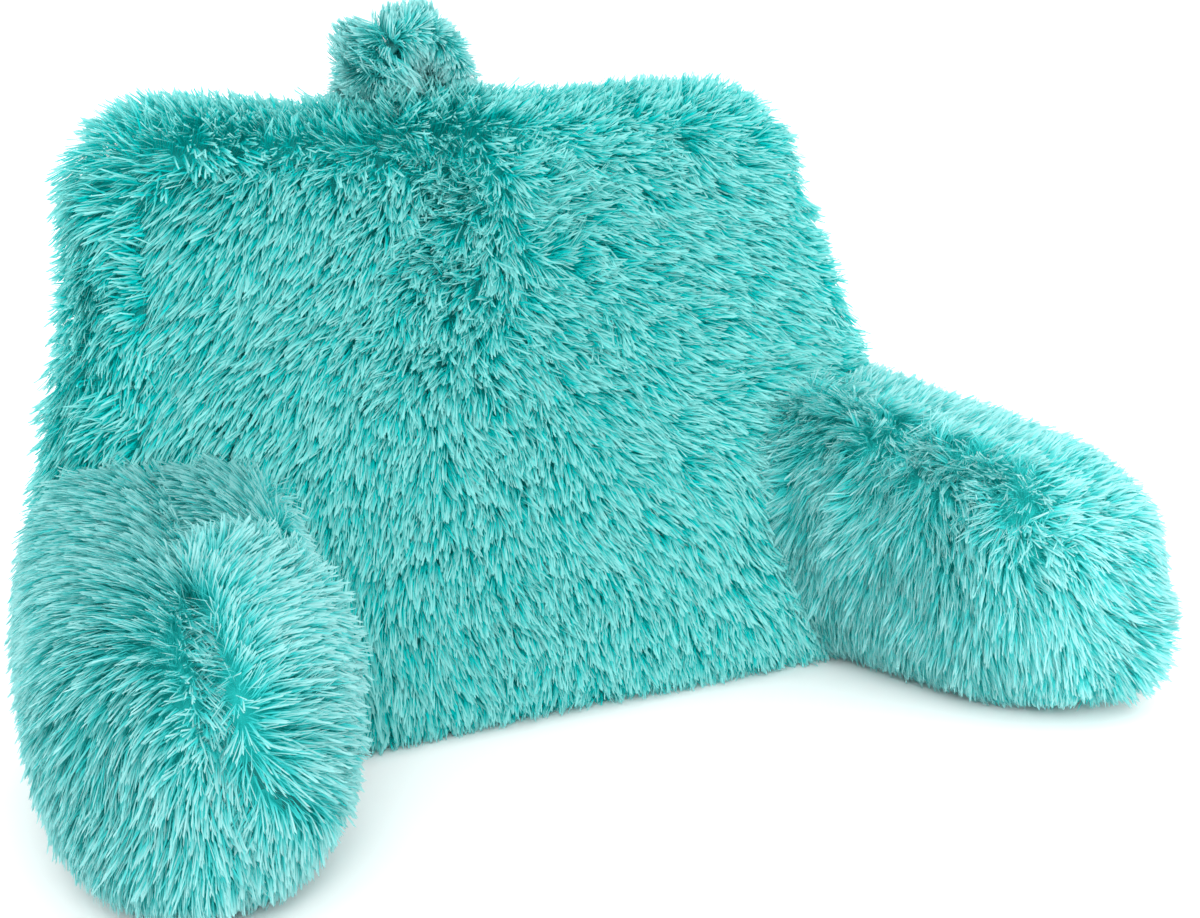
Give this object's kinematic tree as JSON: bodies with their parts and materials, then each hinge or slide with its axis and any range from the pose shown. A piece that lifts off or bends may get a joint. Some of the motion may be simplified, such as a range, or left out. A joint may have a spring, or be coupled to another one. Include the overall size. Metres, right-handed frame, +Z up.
{
  "type": "reading pillow with arms",
  "caption": "Shaggy bed-rest cushion: a leaning boxed back with a soft arm on each side and a fur-covered carry loop on top.",
  "frame": {"origin": "on the floor, under the middle of the back cushion's boxing strip", "axes": "+Z up, +X to the viewer's right as the pillow faces the viewer, -Y the way that the pillow faces"},
  "size_m": [0.8952, 0.5202, 0.5142],
  "materials": {
    "back_fur": "long shaggy pile, aqua",
    "boxing_fur": "long shaggy pile, aqua, seen at its pale tips",
    "arm_fur": "long shaggy pile, aqua",
    "handle_fur": "long shaggy pile on a strap, aqua"
  },
  "bodies": {
    "root": {"backrest_front_panel": "back_fur", "backrest_boxing_strip": "boxing_fur", "backrest_rear_panel": "back_fur", "arm_left_inner_panel": "arm_fur", "arm_left_outer_panel": "arm_fur", "arm_right_inner_panel": "arm_fur", "arm_right_outer_panel": "arm_fur", "carry_handle": "handle_fur"}
  },
  "joints": []
}
